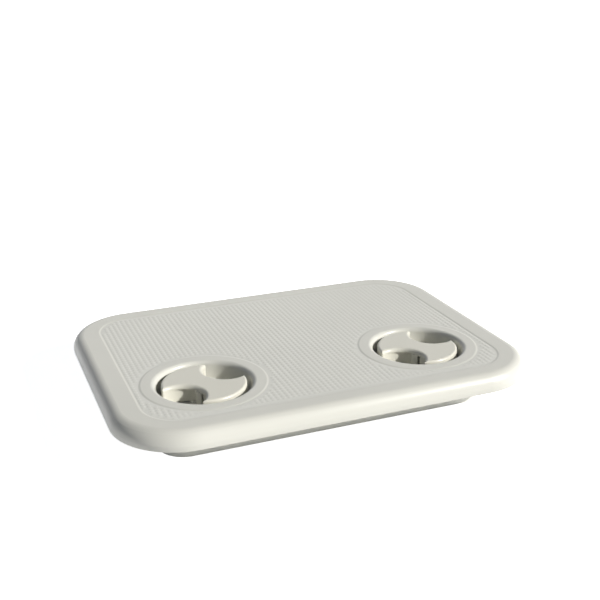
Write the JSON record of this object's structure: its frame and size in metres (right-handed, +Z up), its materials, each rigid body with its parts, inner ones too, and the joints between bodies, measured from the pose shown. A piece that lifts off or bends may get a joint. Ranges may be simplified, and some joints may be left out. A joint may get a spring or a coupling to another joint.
{
  "type": "boat locker hatch",
  "caption": "Flush deck hatch for a locker: rounded rectangular lid with an anti-slip panel and round turn latches, hinged to a coaming frame that drops into a cut-out.",
  "frame": {"origin": "middle of the frame's lower rim, which is the middle of the part's base", "axes": "+X along the long side, +Y from the latches to the hinges, +Z up out of the deck"},
  "size_m": [0.38, 0.2799, 0.043],
  "materials": {
    "shell": "moulded weather-resistant plastic in warm light grey-white, satin",
    "knob": "moulded plastic in warm light grey-white, satin",
    "cam": "glass-filled nylon, matt light grey",
    "nylon": "plain nylon, natural white",
    "seal": "black rubber, matt",
    "steel": "plain stainless steel"
  },
  "bodies": {
    "coaming": {"frame": "shell", "hinge_pin_right": "steel", "hinge_pin_left": "steel"},
    "cover": {"lid": "shell", "lid_seal": "seal"},
    "latch_right": {"knob_right": "knob", "shaft_ring_right": "seal", "thrust_washer_right": "nylon", "cam_right": "cam", "cam_washer_right": "steel", "cam_screw_right": "steel"},
    "latch_left": {"knob_left": "knob", "shaft_ring_left": "seal", "thrust_washer_left": "nylon", "cam_left": "cam", "cam_washer_left": "steel", "cam_screw_left": "steel"}
  },
  "joints": [
    {"name": "lid_hinge", "type": "hinge", "parent": "coaming", "child": "cover", "pos_m": [0, 0.132, 0.035], "axis": [-1, 0, 0], "range_deg": [0, 105]},
    {"name": "latch_right_turn", "type": "hinge", "parent": "cover", "child": "latch_right", "pos_m": [0.1022, -0.0542, 0.0225], "axis": [0, 0, -1], "range_deg": [0, 90]},
    {"name": "latch_left_turn", "type": "hinge", "parent": "cover", "child": "latch_left", "pos_m": [-0.1022, -0.0542, 0.0225], "axis": [0, 0, -1], "range_deg": [0, 90]}
  ]
}
